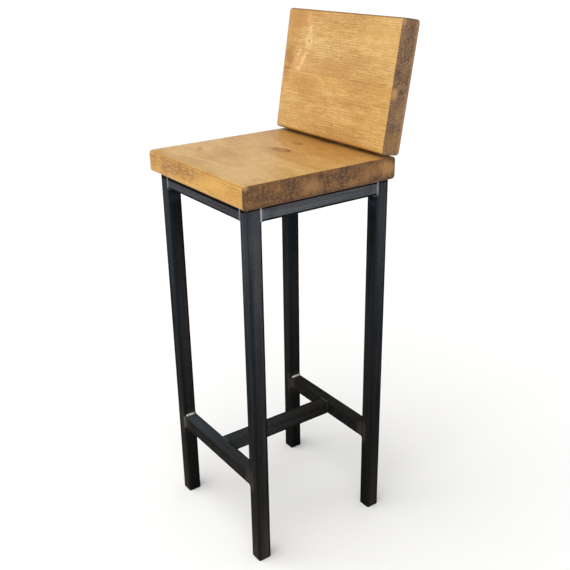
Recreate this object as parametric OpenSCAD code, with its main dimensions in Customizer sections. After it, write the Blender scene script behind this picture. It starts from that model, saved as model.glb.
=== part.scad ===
// Bar stool with a footrest and a low leaning back.
// A welded frame of square box section carries a seat and a backrest, each glued up from two boards.
// Millimetres. +Z is up, the front is towards -Y, and +X is on the right of a person who faces the front.

/* [Frame] */
// Side of the square box section
tube = 25; // [22:1:30]
// Wall of the box section
tube_wall = 2; // [1.5:0.5:2.5]
// Outer corner radius of the box section
tube_r = 3; // [3:0.5:4]
// Width of the frame over the legs
frame_w = 280; // [250:5:340]
// Depth of the frame over the legs
frame_d = 280; // [250:5:340]
// Height of the flat top of the frame
frame_h = 662; // [500:1:760]
// Height of the top of the footrest and of the two lower bars behind it
footrest_top = 176.5; // [120:0.5:260]
// How far the centre stretcher stands off the frame's middle
stretcher_x = -1.5; // [-10:0.5:10]

/* [Feet] */
// Thickness of the plug's flange under each leg
plug_flange = 1.5; // [1:0.5:4]
// How far a plug reaches up inside its leg
plug_depth = 14; // [10:1:20]

/* [Boards] */
// Thickness of the boards
board_t = 38; // [32:1:45]
// Radius on the long edges of the seat and the backrest
edge_r = 6.5; // [3:0.5:6.5]
// Width of the seat, side to side
seat_w = 300; // [290:5:360]
// Depth of the seat, front to back
seat_d = 300; // [290:5:310]
// How far the seat lies off the frame's middle, side to side
seat_x = -2.5; // [-5:0.5:5]
// How far the seat lies off the frame's middle, front to back
seat_y = -3; // [-4:0.5:-3]
// Width of the backrest
back_w = 300; // [260:5:360]
// Height of the backrest along its own slope
back_h = 215; // [205:1:260]
// How far the backrest stands off the frame's middle, side to side
back_x = -1; // [-5:0.5:5]
// Angle that the backrest leans back from upright
back_lean = 9.6; // [9.6:0.1:14]
// Gap between the seat and the front lower edge of the backrest
back_gap = 6; // [6:0.5:20]

/* [Brackets] */
// Thickness of the flat bar and of its packer
bar_t = 6; // [6:1:8]
// Width of the flat bar
bar_w = 40; // [30:5:50]
// Width of the packer between the flat bar and the frame
packer_w = 52; // [50:1:60]
// Height of the packer
packer_h = 19; // [12:1:19]
// Distance of each bracket from the frame's middle
bracket_x = 72; // [60:1:80]
// How far each bracket reaches up the backrest
bracket_rise = 190; // [185:1:200]

/* [Welds] */
// Leg of a raised weld bead
bead = 4; // [2:0.5:5]

/* [Hidden] */
$fn = 32;

STEEL = [0.24, 0.25, 0.26];
WELD = [0.52, 0.52, 0.50];
PINE = [0.80, 0.62, 0.38];
PLASTIC = [0.05, 0.05, 0.05];
ZINC = [0.70, 0.69, 0.62];

tube_inner = tube - 2 * tube_wall;
tube_inner_r = tube_r - tube_wall;
tube_flat = tube - 2 * tube_r;
arc_at = tube / 2 - tube_r;

leg_x = (frame_w - tube) / 2;
leg_y = (frame_d - tube) / 2;
rail_x_len = frame_w - 2 * tube;
rail_y_len = frame_d - 2 * tube;
top_rail_z = frame_h - tube / 2;
lower_rail_z = footrest_top - tube / 2;

seat_left = seat_x - seat_w / 2;
seat_front = seat_y - seat_d / 2;
back_left = back_x - back_w / 2;

// The brackets bend at the top of the frame, and the backrest starts back_start up their slope.
bracket_y = frame_d / 2 + bar_t;
back_start = (board_t + back_gap - board_t * sin(back_lean)) / cos(back_lean);
bracket_top = back_start + bracket_rise;
bracket_corner_r = 6;

// Extremes of the stool, which set the point under its middle that everything is drawn from.
right_most = max(seat_x + seat_w / 2, back_x + back_w / 2);
left_most = min(seat_left, back_left);
top_corner = back_start + back_h;
board_most = bracket_y + top_corner * sin(back_lean) - edge_r * (sin(back_lean) + cos(back_lean) - 1);
bracket_most = bracket_y + bracket_top * sin(back_lean) + bar_t * cos(back_lean);
back_most = max(board_most, bracket_most);
mid_x = (right_most + left_most) / 2;
mid_y = (back_most + seat_front) / 2;

screw_r = 2.45;
pilot_r = 2.5;
clear_r = 2.75;
screw_tip = 4;
seat_screw_len = tube + 20;
back_screw_len = bar_t + 24;
pan_r = 4.75;
pan_h = 2.8;
pan_rim = 1.2;
sink_r = 4.9;
sink_depth = 2.6;
seat_screw_step_x = 70;
seat_screw_step_y = 60;
seat_screw_spots = [
    for (s = [-1, 1]) [s * seat_screw_step_x, -leg_y],
    for (s = [-1, 1]) [s * seat_screw_step_x, leg_y],
    for (s = [-1, 1]) [-leg_x, s * seat_screw_step_y],
    for (s = [-1, 1]) [leg_x, s * seat_screw_step_y]
];
back_screw_rises = [30, 78, back_h / 2 + 27, back_h / 2 + 67];

// Moves a piece from the frame's own middle to the stool's origin.
module stand() {
    translate([-mid_x, -mid_y, 0]) children();
}

// The brackets' slope: Z runs up the flat bar's front face, and Y points backwards through it.
module slope() {
    translate([0, bracket_y, frame_h]) rotate([-back_lean, 0, 0]) children();
}

module rounded_square(side, r) {
    straight = side - 2 * r;
    corner = straight / 2;
    square([side, straight], center = true);
    square([straight, side], center = true);
    for (x = [-corner, corner], y = [-corner, corner]) translate([x, y]) circle(r = r);
}

module box_section(length) {
    linear_extrude(length) difference() {
        rounded_square(tube, tube_r);
        rounded_square(tube_inner, tube_inner_r);
    }
}

module box_along_x(length) {
    translate([-length / 2, 0, 0]) rotate([0, 90, 0]) box_section(length);
}

module box_along_y(length) {
    translate([0, -length / 2, 0]) rotate([-90, 0, 0]) box_section(length);
}

module seat_screw_holes(r, bottom, top) {
    for (spot = seat_screw_spots) translate([spot[0], spot[1], bottom]) cylinder(r = r, h = top - bottom);
}

module leg(x, y) {
    color(STEEL) translate([x * leg_x, y * leg_y, plug_flange]) box_section(frame_h - plug_flange);
}

// A moulded insert: a flange under the leg, a hollow stem and two fins that grip the bore.
module foot_plug(x, y) {
    stem = tube_inner - 1.4;
    fin_t = 1;
    color(PLASTIC) translate([x * leg_x, y * leg_y, 0]) difference() {
        union() {
            linear_extrude(plug_flange) rounded_square(tube, tube_r);
            linear_extrude(plug_flange + plug_depth) rounded_square(stem, tube_inner_r);
            for (rise = [3, 8]) translate([0, 0, plug_flange + rise])
                linear_extrude(fin_t) rounded_square(tube_inner, tube_inner_r);
        }
        translate([0, 0, plug_flange + 1])
            linear_extrude(plug_depth) rounded_square(stem - 3, tube_inner_r);
    }
}

module top_rail_across(y) {
    color(STEEL) difference() {
        translate([0, y * leg_y, top_rail_z]) box_along_x(rail_x_len);
        seat_screw_holes(clear_r, frame_h - tube - 1, frame_h + 1);
    }
}

module top_rail_side(x) {
    color(STEEL) difference() {
        translate([x * leg_x, 0, top_rail_z]) box_along_y(rail_y_len);
        seat_screw_holes(clear_r, frame_h - tube - 1, frame_h + 1);
    }
}

module lower_rail(y) {
    color(STEEL) translate([0, y * leg_y, lower_rail_z]) box_along_x(rail_x_len);
}

module centre_stretcher() {
    color(STEEL) translate([stretcher_x, 0, lower_rail_z]) box_along_y(rail_y_len);
}

// One board's section: the edge at the origin is eased, and the far edge is square for the glue joint.
module board_section(width) {
    translate([edge_r, 0]) square([width - edge_r, board_t]);
    translate([0, edge_r]) square([edge_r, board_t - 2 * edge_r]);
    for (rise = [edge_r, board_t - edge_r]) translate([edge_r, rise]) circle(r = edge_r);
}

// A board lying flat along X, its eased edge towards -Y.
module board(length, width) {
    rotate([90, 0, 90]) linear_extrude(length) board_section(width);
}

module seat_board(rear) {
    color(PINE) difference() {
        translate([seat_left, seat_y, frame_h]) mirror([0, rear ? 1 : 0, 0])
            translate([0, -seat_d / 2, 0]) board(seat_w, seat_d / 2);
        seat_screw_holes(pilot_r, frame_h - 1, frame_h - tube + seat_screw_len);
    }
}

// In the slope's own directions the backrest stands in front of the flat bars.
module back_board(upper) {
    color(PINE) slope() difference() {
        translate([back_left, -board_t, back_start + back_h / 2]) mirror([0, 0, upper ? 1 : 0])
            translate([0, board_t, -back_h / 2]) rotate([90, 0, 0]) board(back_w, back_h / 2);
        for (x = [-1, 1]) back_screw_axes(x) cylinder(r = pilot_r, h = back_screw_len);
    }
}

// Puts children at each back screw of one bracket, with Z running forwards from the bar's rear face.
module back_screw_axes(x) {
    for (rise = back_screw_rises) translate([x * bracket_x, bar_t, back_start + rise])
        rotate([90, 0, 0]) children();
}

module bracket_packer(x) {
    color(STEEL) translate([x * bracket_x - packer_w / 2, frame_d / 2, top_rail_z - packer_h / 2])
        cube([packer_w, bar_t, packer_h]);
}

// Side view of the flat bar, bent once: upright against the packer, then up the slope behind the backrest.
module bar_outline() {
    mitre = bar_t * tan(back_lean / 2);
    up = [sin(back_lean), cos(back_lean)] * bracket_top;
    through = [cos(back_lean), -sin(back_lean)] * bar_t;
    bend = [bracket_y, frame_h];
    polygon([
        [bracket_y, frame_h - tube],
        [bracket_y + bar_t, frame_h - tube],
        [bracket_y + bar_t, frame_h - mitre],
        bend + up + through,
        bend + up,
        bend
    ]);
}

// What a round corner takes off the top of the flat bar.
module corner_off(side) {
    reach = bar_w / 2 - bracket_corner_r;
    translate([side * reach, bar_t + 1, bracket_top - bracket_corner_r]) rotate([90, 0, 0])
        mirror([side < 0 ? 1 : 0, 0, 0]) linear_extrude(bar_t + 2) difference() {
            square(bracket_corner_r + 1);
            circle(r = bracket_corner_r);
        }
}

module back_bracket(x) {
    color(STEEL) difference() {
        translate([x * bracket_x - bar_w / 2, 0, 0]) rotate([90, 0, 90]) linear_extrude(bar_w) bar_outline();
        slope() {
            back_screw_axes(x) {
                translate([0, 0, -1]) cylinder(r = clear_r, h = bar_t + 2);
                cylinder(r1 = sink_r, r2 = clear_r, h = sink_depth);
            }
            for (side = [-1, 1]) translate([x * bracket_x, 0, 0]) corner_off(side);
        }
    }
}

module cross_recess(depth) {
    wide = 4.6;
    slot = 1.1;
    for (turn = [0, 90]) rotate(turn) translate([-wide / 2, -slot / 2, -depth]) cube([wide, slot, depth + 1]);
}

module screw_shank(length) {
    cylinder(r = screw_r, h = length - screw_tip);
    translate([0, 0, length - screw_tip]) cylinder(r1 = screw_r, r2 = 0.3, h = screw_tip);
}

// Pan head below the origin, shank above it.
module pan_screw() {
    dome_r = (pan_r * pan_r + (pan_h - pan_rim) * (pan_h - pan_rim)) / (2 * (pan_h - pan_rim));
    difference() {
        union() {
            screw_shank(seat_screw_len);
            mirror([0, 0, 1]) rotate_extrude() intersection() {
                translate([0, pan_h - dome_r]) circle(r = dome_r, $fn = 96);
                square([pan_r, pan_h]);
            }
        }
        mirror([0, 0, 1]) translate([0, 0, pan_h]) cross_recess(1.8);
    }
}

// Countersunk head flush with the origin, shank above it.
module sunk_screw() {
    difference() {
        union() {
            cylinder(r1 = sink_r, r2 = clear_r, h = sink_depth);
            screw_shank(back_screw_len);
        }
        mirror([0, 0, 1]) cross_recess(2);
    }
}

module seat_screws() {
    color(ZINC) for (spot = seat_screw_spots) translate([spot[0], spot[1], frame_h - tube]) pan_screw();
}

module back_screws() {
    color(ZINC) slope() for (x = [-1, 1]) back_screw_axes(x) sunk_screw();
}

// Ground-flush weld in the groove that a tube's round corner leaves beside a butted tube.
module groove_weld(length) {
    linear_extrude(length) difference() {
        square(tube_r);
        circle(r = tube_r);
    }
}

// Raised weld in a square corner at the origin, its two faces against the +X and +Y quadrant.
module bead_weld(length) {
    translate([0, 0, -length / 2]) linear_extrude(length) intersection() {
        square(bead);
        circle(r = bead);
    }
}

// Groove weld up a leg, on the corner that lies at (side_x, side_y) from the leg's middle.
module leg_groove(x, y, side_x, side_y, bottom) {
    translate([x * leg_x + side_x * arc_at, y * leg_y + side_y * arc_at, bottom])
        mirror([side_x < 0 ? 1 : 0, 0, 0]) mirror([0, side_y < 0 ? 1 : 0, 0]) groove_weld(tube);
}

// Bead across a leg's inner face, above (up = 1) or below (up = -1) a rail that runs side to side.
module leg_bead_across(x, y, z, up) {
    translate([x * (leg_x - tube / 2), y * leg_y, z]) mirror([x > 0 ? 1 : 0, 0, 0])
        rotate([90, 0, 0]) mirror([0, up < 0 ? 1 : 0, 0]) bead_weld(tube_flat);
}

// The same for a rail that runs front to back.
module leg_bead_along(x, y, z, up) {
    translate([x * leg_x, y * (leg_y - tube / 2), z]) mirror([0, y > 0 ? 1 : 0, 0])
        rotate([90, 0, 90]) mirror([0, up < 0 ? 1 : 0, 0]) bead_weld(tube_flat);
}

module top_frame_welds() {
    color(WELD) for (x = [-1, 1], y = [-1, 1]) {
        leg_groove(x, y, -x, y, frame_h - tube);
        leg_groove(x, y, x, -y, frame_h - tube);
        leg_groove(x, y, -x, -y, frame_h - tube);
        leg_bead_across(x, y, frame_h - tube, -1);
        leg_bead_along(x, y, frame_h - tube, -1);
    }
}

module lower_rail_welds() {
    color(WELD) for (x = [-1, 1], y = [-1, 1]) {
        leg_groove(x, y, -x, y, footrest_top - tube);
        leg_groove(x, y, -x, -y, footrest_top - tube);
        leg_bead_across(x, y, footrest_top, 1);
        leg_bead_across(x, y, footrest_top - tube, -1);
    }
}

// Grooves above and below each end of the stretcher, and beads up its two sides.
module stretcher_welds() {
    color(WELD) for (y = [-1, 1]) {
        for (up = [-1, 1])
            translate([stretcher_x - tube_flat / 2, y * (leg_y - arc_at), lower_rail_z + up * arc_at])
                mirror([0, y > 0 ? 1 : 0, 0]) mirror([0, 0, up < 0 ? 1 : 0])
                    rotate([90, 0, 90]) groove_weld(tube_flat);
        for (side = [-1, 1])
            translate([stretcher_x + side * tube / 2, y * (leg_y - tube / 2), lower_rail_z])
                mirror([side < 0 ? 1 : 0, 0, 0]) mirror([0, y > 0 ? 1 : 0, 0]) bead_weld(tube_flat);
    }
}

// Beads up both sides of each packer, and up both sides of the flat bar's foot.
module bracket_welds() {
    color(WELD) for (x = [-1, 1], side = [-1, 1]) {
        translate([x * bracket_x + side * packer_w / 2, frame_d / 2, top_rail_z])
            mirror([side < 0 ? 1 : 0, 0, 0]) bead_weld(packer_h);
        translate([x * bracket_x + side * bar_w / 2, bracket_y, top_rail_z])
            mirror([side < 0 ? 1 : 0, 0, 0]) bead_weld(packer_h);
    }
}

stand() leg(-1, -1);  // leg_front_left
stand() leg(1, -1);  // leg_front_right
stand() leg(-1, 1);  // leg_rear_left
stand() leg(1, 1);  // leg_rear_right
stand() foot_plug(-1, -1);  // foot_plug_front_left
stand() foot_plug(1, -1);  // foot_plug_front_right
stand() foot_plug(-1, 1);  // foot_plug_rear_left
stand() foot_plug(1, 1);  // foot_plug_rear_right
stand() top_rail_across(-1);  // top_rail_front
stand() top_rail_across(1);  // top_rail_rear
stand() top_rail_side(-1);  // top_rail_left
stand() top_rail_side(1);  // top_rail_right
stand() lower_rail(-1);  // footrest_rail
stand() lower_rail(1);  // rear_lower_rail
stand() centre_stretcher();
stand() bracket_packer(-1);  // bracket_packer_left
stand() bracket_packer(1);  // bracket_packer_right
stand() back_bracket(-1);  // back_bracket_left
stand() back_bracket(1);  // back_bracket_right
stand() seat_board(false);  // seat_board_front
stand() seat_board(true);  // seat_board_rear
stand() back_board(false);  // back_board_lower
stand() back_board(true);  // back_board_upper
stand() seat_screws();
stand() back_screws();
stand() top_frame_welds();
stand() lower_rail_welds();
stand() stretcher_welds();
stand() bracket_welds();
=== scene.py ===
import math
import random

import bmesh
import bpy
from mathutils import Matrix, Vector, noise


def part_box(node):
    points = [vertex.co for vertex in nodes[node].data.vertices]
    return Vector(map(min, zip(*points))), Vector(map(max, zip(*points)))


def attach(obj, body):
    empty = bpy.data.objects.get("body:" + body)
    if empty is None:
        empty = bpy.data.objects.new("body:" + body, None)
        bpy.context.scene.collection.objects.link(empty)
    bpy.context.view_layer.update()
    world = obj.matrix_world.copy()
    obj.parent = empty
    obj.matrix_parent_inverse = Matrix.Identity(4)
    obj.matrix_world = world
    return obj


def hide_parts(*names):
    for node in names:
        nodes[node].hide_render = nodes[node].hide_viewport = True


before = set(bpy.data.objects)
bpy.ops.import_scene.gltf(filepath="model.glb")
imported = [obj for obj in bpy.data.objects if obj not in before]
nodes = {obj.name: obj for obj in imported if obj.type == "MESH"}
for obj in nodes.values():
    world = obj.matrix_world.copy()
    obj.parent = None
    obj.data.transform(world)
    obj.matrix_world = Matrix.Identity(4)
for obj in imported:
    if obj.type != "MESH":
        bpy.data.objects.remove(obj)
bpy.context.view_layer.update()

MM = 0.001
X = Vector((1, 0, 0))
Y = Vector((0, 1, 0))
Z = Vector((0, 0, 1))

# Boards
BOARD_THICK = 38 * MM
BOARD_LONG = 300 * MM
SEAT_BOARD_WIDE = 150 * MM
EDGE_ROUND = 6.5 * MM
GLUE_EASE = 0.25 * MM
END_ARRIS = 1.7 * MM
END_RIM = 1.2 * MM
SHARP_TURN = math.radians(60)
SAME_POINT = 0.001 * MM
BACK_TALL = 215 * MM
BACK_BOARD_WIDE = BACK_TALL / 2
BACK_LEAN = math.radians(9.6)

# Frame
TUBE = 25 * MM
TUBE_ROUND = 3 * MM
TUBE_FLAT = TUBE - 2 * TUBE_ROUND
TUBE_EDGE = TUBE / 2 - TUBE_ROUND / 2
SAME_POINT_STEEL = 0.01 * MM
PACKER_WIDE = 52 * MM
PACKER_TALL = 19 * MM
BAR_WIDE = 40 * MM
BAR_THICK = 6 * MM
BEAD = 4 * MM
GROUND_WIDE = 3.6 * MM
GROUND_PROUD = 0.18 * MM
GROUND_SUNK = 0.06 * MM
GROOVE_DEEP = 2 * MM
WELD_SUNK = 0.3 * MM

leg_low, leg_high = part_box("leg_front_left")
far_low, far_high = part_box("leg_rear_right")
frame_top = leg_high.z
leg_left = (leg_low.x + leg_high.x) / 2
leg_right = (far_low.x + far_high.x) / 2
leg_front = (leg_low.y + leg_high.y) / 2
leg_rear = (far_low.y + far_high.y) / 2
middle_x = (leg_left + leg_right) / 2
middle_y = (leg_front + leg_rear) / 2
footrest_low, footrest_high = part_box("footrest_rail")
stretcher_low, stretcher_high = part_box("centre_stretcher")
footrest_top = footrest_high.z
footrest_bottom = footrest_low.z
stretcher_middle = (stretcher_low.x + stretcher_high.x) / 2
top_middle = frame_top - TUBE / 2
low_middle = footrest_top - TUBE / 2


# ---------------------------------------------------------------- finishes

def joining(operation, swapped=False):
    """A method that joins two terms with one Math node."""
    def method(self, other):
        return self.math(operation, other, self) if swapped else self.math(operation, self, other)
    return method


class Signal:
    """A value, vector or colour inside a finish. Sums written with it add Math nodes."""

    def __init__(self, finish, socket):
        self.finish = finish
        self.socket = socket

    def math(self, operation, *terms):
        return self.finish.node("ShaderNodeMath", {"operation": operation}, dict(enumerate(terms)))

    __add__ = joining("ADD")
    __radd__ = joining("ADD", swapped=True)
    __sub__ = joining("SUBTRACT")
    __rsub__ = joining("SUBTRACT", swapped=True)
    __mul__ = joining("MULTIPLY")
    __truediv__ = joining("DIVIDE")
    most = joining("MAXIMUM")
    least = joining("MINIMUM")

    def __abs__(self):
        return self.math("ABSOLUTE", self)

    def fraction(self):
        return self.math("FRACT", self)

    def whole(self):
        return self.math("FLOOR", self)

    def rise(self, low, high):
        """0 up to low, 1 from high, and a smooth step between them."""
        sockets = {"Value": self, "From Min": low, "From Max": high}
        return self.finish.node("ShaderNodeMapRange", {"interpolation_type": "SMOOTHSTEP"}, sockets)

    def fall(self, low, high):
        return 1 - self.rise(low, high)


class Finish:
    """The nodes of one material or world. stand is the matrix of the axes that its pattern follows."""

    def __init__(self, owner, stand=None):
        owner.use_nodes = True
        self.owner = owner
        self.stand = stand
        self.tree = owner.node_tree
        self.tree.nodes.clear()

    def node(self, kind, settings, sockets, output=0):
        made = self.tree.nodes.new(kind)
        for name, value in settings.items():
            if name == "stops":
                self.set_stops(made.color_ramp, value)
            else:
                setattr(made, name, value)
        for name, value in sockets.items():
            self.feed(made.inputs[name], value)
        return Signal(self, made.outputs[output]) if made.outputs else None

    def feed(self, socket, value):
        if isinstance(value, Signal):
            self.tree.links.new(value.socket, socket)
        elif socket.type == "RGBA":
            socket.default_value = (*value, 1)
        else:
            socket.default_value = value

    def set_stops(self, ramp, stops):
        while len(ramp.elements) < len(stops):
            ramp.elements.new(1)
        for element, (at, colour) in zip(ramp.elements, stops):
            element.position = at
            element.color = (*colour, 1)

    def own_axes(self, vector, origin):
        if self.stand is None:
            return vector
        sockets = {"Vector": vector, "Location": origin, "Rotation": self.stand.to_euler()}
        return self.node("ShaderNodeMapping", {"vector_type": "TEXTURE"}, sockets)

    def place(self):
        """Position on the piece, in metres along the pattern's axes."""
        origin = self.stand.to_translation() if self.stand else None
        return self.own_axes(self.node("ShaderNodeTexCoord", {}, {}, "Object"), origin)

    def facing(self):
        """Direction that the surface faces, along the pattern's axes."""
        normal = self.own_axes(self.node("ShaderNodeTexCoord", {}, {}, "Normal"), (0, 0, 0))
        return self.split(normal)

    def split(self, vector):
        made = self.node("ShaderNodeSeparateXYZ", {}, {0: vector})
        return [Signal(self, socket) for socket in made.socket.node.outputs]

    def join(self, x, y, z):
        return self.node("ShaderNodeCombineXYZ", {}, {0: x, 1: y, 2: z})

    def length(self, x, y, z):
        joined = self.join(x, y, z)
        return self.node("ShaderNodeVectorMath", {"operation": "LENGTH"}, {0: joined}, "Value")

    def stretched(self, vector, scales, shift):
        sockets = {0: vector, 1: scales, 2: (shift, shift * 1.7, shift * 2.3)}
        return self.node("ShaderNodeVectorMath", {"operation": "MULTIPLY_ADD"}, sockets)

    def cloud(self, vector, scales, shift=0.0, detail=2.0, rough=0.5):
        """Noise from about 0 to 1, with its own scale along each axis."""
        place = self.stretched(vector, scales, shift)
        sockets = {"Vector": place, "Scale": 1.0, "Detail": detail, "Roughness": rough}
        return self.node("ShaderNodeTexNoise", {}, sockets)

    def cells(self, vector, scales, shift=0.0):
        """Distance to the nearest of many scattered spots."""
        place = self.stretched(vector, scales, shift)
        return self.node("ShaderNodeTexVoronoi", {}, {"Vector": place, "Scale": 1.0}, "Distance")

    def mix(self, under, over, share, blend="MIX"):
        settings = {"data_type": "RGBA", "blend_type": blend}
        return self.node("ShaderNodeMix", settings, {0: share, 6: under, 7: over}, 2)

    def coats(self, colour, *coats):
        """Lays colours over one another, each with its share."""
        for over, share in coats:
            colour = self.mix(colour, over, share)
        return colour

    def ramp(self, value, stops):
        return self.node("ShaderNodeValToRGB", {"stops": stops}, {0: value})

    def bump(self, height, distance, strength):
        sockets = {"Height": height, "Distance": distance, "Strength": strength}
        return self.node("ShaderNodeBump", {}, sockets)

    def surface(self, sockets):
        shader = self.node("ShaderNodeBsdfPrincipled", {}, sockets)
        self.node("ShaderNodeOutputMaterial", {}, {"Surface": shader})
        return self.owner


def new_finish(name, stand=None):
    return Finish(bpy.data.materials.new(name), stand)


# Wood
HONEY = (0.555, 0.320, 0.082)
HONEY_PALE = (0.660, 0.425, 0.145)
HONEY_DEEP = (0.430, 0.212, 0.040)
AMBER = (0.370, 0.175, 0.032)
LATEWOOD = (0.300, 0.130, 0.022)
KNOT_RIM = (0.085, 0.036, 0.012)
KNOT_CORE = (0.270, 0.105, 0.026)
ARRIS_BROWN = (0.240, 0.140, 0.060)
ARRIS_DARK = (0.100, 0.050, 0.022)
ROSY = (0.640, 0.325, 0.130)
CREAM = (0.760, 0.525, 0.230)
PEACH = (0.660, 0.400, 0.165)
SAWN_BROWN = (0.260, 0.118, 0.012)

# What a board's own colour is multiplied by: a tint, and on the rear seat board painted shade from the
# backrest
UNTINTED = (1, 1, 1)
WARM_UPPER = (0.985, 0.965, 0.90)
WARM_LOWER = (0.985, 0.94, 0.78)
# Painted shade from the backrest over the rear seat board.
SHADED_REAR = (0.93, 0.89, 0.90)
SEAT_EDGE_TINT = (0.99, 0.870, 0.40)
# Painted shade: darkens the backrest's top and bottom sawn edges.
BACK_EDGE_SHADE = (0.40, 0.33, 0.27)

# Dark, middle and light tones of end grain
SEAT_END = [(0.040, 0.0140, 0.0040), (0.134, 0.051, 0.011), (0.430, 0.205, 0.046)]
BACK_END = [(0.066, 0.031, 0.015), (0.155, 0.076, 0.029), (0.470, 0.280, 0.130)]

SEAT_LOOK = {
    "tones": SEAT_END,
    "edge_tint_and_shade": SEAT_EDGE_TINT,
    "rings_seen": 0.20,
    "grain": 0.40,
    "glue_dark": 0.60,
    "low_colour": SEAT_END[0],
    "low_tall": 8 * MM,
    "wide": SEAT_BOARD_WIDE,
}
BACK_LOOK = {
    "tones": BACK_END,
    "edge_tint_and_shade": BACK_EDGE_SHADE,
    "grain": 1.25,
    "glue_dark": 0.0,
    "end_rings": 0.55,
    "low_colour": BACK_END[2],
    "low_tall": 10 * MM,
    "wide": BACK_BOARD_WIDE,
}


def patch_reach(m, across, up, patch):
    """How far a point lies from the middle of an oval patch, where 1 is the patch's rim.
    A patch is its middle's two places and its two half sizes, in millimetres, and its turn in degrees."""
    middle_across, middle_up, long, wide, turn = patch
    c = math.cos(math.radians(turn))
    s = math.sin(math.radians(turn))
    off_across = across - middle_across * MM
    off_up = up - middle_up * MM
    along_patch = (off_across * c + off_up * s) / (long * MM)
    over_patch = (off_up * c - off_across * s) / (wide * MM)
    return m.length(along_patch, over_patch, 0.0)


class Pine:
    """The grain of one board in its own axes: X along the grain, Y from the glue edge, Z out of its face.
    pith is where the rings centre across the board, and ring is how far apart they are, in millimetres."""

    def __init__(self, m, shift, pith, ring, knots):
        self.m = m
        self.shift = shift
        self.place = m.place()
        self.x, self.y, self.z = m.split(self.place)
        self.out_x, self.out_y, self.out_z = [abs(out) for out in m.facing()]
        self.sawn_edge = self.out_y.rise(0.55, 0.85)
        self.streak = self.cloud((26, 330, 330), 4, 3, 0.65)
        self.fibre = self.cloud((55, 1300, 1300), 2, 2, 0.6)
        self.flecks = self.cloud((190, 480, 480), 12, 3, 0.65)
        self.broad = self.cloud((9, 22, 22), 5, 3, 0.55)
        self.figure = self.cloud((80, 24, 24), 6, 3)
        self.ripple = self.cloud((28, 60, 60), 1, 2) - 0.5
        self.speck = self.cloud((60, 760, 760), 7, 3, 0.7)
        self.set_knots(knots)
        self.set_rings(pith, ring)
        self.set_strokes()

    def cloud(self, scales, offset, detail=2.0, rough=0.5):
        return self.m.cloud(self.place, scales, self.shift + offset, detail, rough)

    def set_knots(self, knots):
        waver = self.cloud((60, 90, 90), 3, 2) * 0.5 - 0.25
        self.reaches = [patch_reach(self.m, self.x, self.y, knot) + waver for knot in knots]

    def set_rings(self, pith, ring):
        """Growth rings round the pith, which swerve round the knots. late is the dark side of each ring."""
        m = self.m
        swerve = 0.0
        for reach in self.reaches:
            swerve = reach.fall(0.5, 3.4) * 1.5 + swerve
        wander = self.cloud((4.5, 11, 11), 0, 2) - 0.5
        self.from_pith = m.length(0.0, self.y - pith[0] * MM, self.z - pith[1] * MM)
        rings = self.from_pith / (ring * MM) + wander * 3.0 + self.ripple * 0.7 + swerve
        part = rings.fraction()
        each_ring = m.cloud(m.join(rings.whole(), self.shift, 0.5), (0.73, 1, 1), 0, 0)
        self.late = part.rise(0.20, 0.80) * part.fall(0.88, 1.0) * each_ring.rise(0.20, 0.75)
        self.light_ring = part.rise(0.10, 0.35) * part.fall(0.45, 0.75)

    def set_strokes(self):
        """Slanting strokes that a saw leaves on end grain, one set each way."""
        m = self.m
        slanted = m.join(self.x, (self.y + self.z) * 0.7, (self.z - self.y) * 0.7)
        self.stroke = m.cloud(slanted, (100, 640, 130), self.shift + 8, 3, 0.65)
        self.cross_stroke = m.cloud(slanted, (100, 130, 640), self.shift + 14, 3, 0.65)

    def stain(self, across, up, patch, scales, ragged, detail=3, rough=0.5, fade=(0.15, 1.25)):
        """1 inside a ragged patch and 0 outside it."""
        soft = self.cloud(scales, patch[0], detail, rough) * ragged - ragged / 2
        return (patch_reach(self.m, across, up, patch) + soft).fall(*fade)

    def face_grain(self, rings_seen, grain):
        grit = self.cloud((330, 520, 520), 15, 2, 0.6)
        return self.m.coats(
            HONEY,
            (HONEY_PALE, self.broad.rise(0.44, 0.60)),
            (HONEY_DEEP, self.broad.fall(0.34, 0.48) * 0.55),
            (HONEY_DEEP, self.figure.rise(0.50, 0.66) * 0.25),
            (LATEWOOD, self.late * rings_seen),
            (HONEY_DEEP, self.streak.rise(0.48, 0.64) * 0.30 * grain),
            (CREAM, self.streak.fall(0.34, 0.47) * 0.30 * grain),
            (LATEWOOD, self.fibre.rise(0.50, 0.62) * 0.22 * grain),
            (CREAM, self.fibre.fall(0.38, 0.48) * 0.16 * grain),
            (LATEWOOD, self.flecks.rise(0.50, 0.62) * 0.16),
            (CREAM, self.flecks.fall(0.36, 0.47) * 0.18),
            (LATEWOOD, grit.rise(0.50, 0.66) * 0.22),
            (CREAM, grit.fall(0.34, 0.48) * 0.22),
        )

    def saw_marks(self, face, stains):
        """The rough outer edge of a board: torn marks, a dark line under its top rounding, and stains."""
        sawn = self.sawn_edge
        chatter = self.cloud((85, 430, 430), 16, 3, 0.65)
        under_rounding = self.z.rise(10.6 * MM, 11.8 * MM) * self.z.fall(12.6 * MM, 14.0 * MM)
        face = self.m.coats(
            face,
            (SAWN_BROWN, chatter.rise(0.49, 0.58) * sawn * 0.16),
            (HONEY_PALE, chatter.fall(0.38, 0.47) * sawn * 0.50),
            (SAWN_BROWN, under_rounding * sawn * chatter.rise(0.38, 0.52) * 0.70),
        )
        for *patch, colour, share in stains:
            stain = self.stain(self.x, self.z, patch, (70, 70, 70), 1.2) * sawn * share
            torn = chatter.rise(0.45, 0.54)
            face = self.m.coats(face, (colour, stain * torn), (colour, stain * 0.30))
        return face

    def with_knots(self, face):
        m = self.m
        broken = 0.45 + self.figure.rise(0.44, 0.58) * 0.50
        for reach in self.reaches:
            face = m.mix(face, LATEWOOD, reach.fall(1.0, 1.9) * 0.45)
            knot_rings = (reach * 3.5 + self.ripple * 1.5).fraction()
            inner = m.mix(KNOT_CORE, HONEY, knot_rings * 0.5 + 0.26)
            inner = m.mix(inner, KNOT_RIM, reach.rise(0.50, 0.85) * broken)
            face = m.mix(face, inner, reach.fall(0.95, 1.15))
        return face

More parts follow.
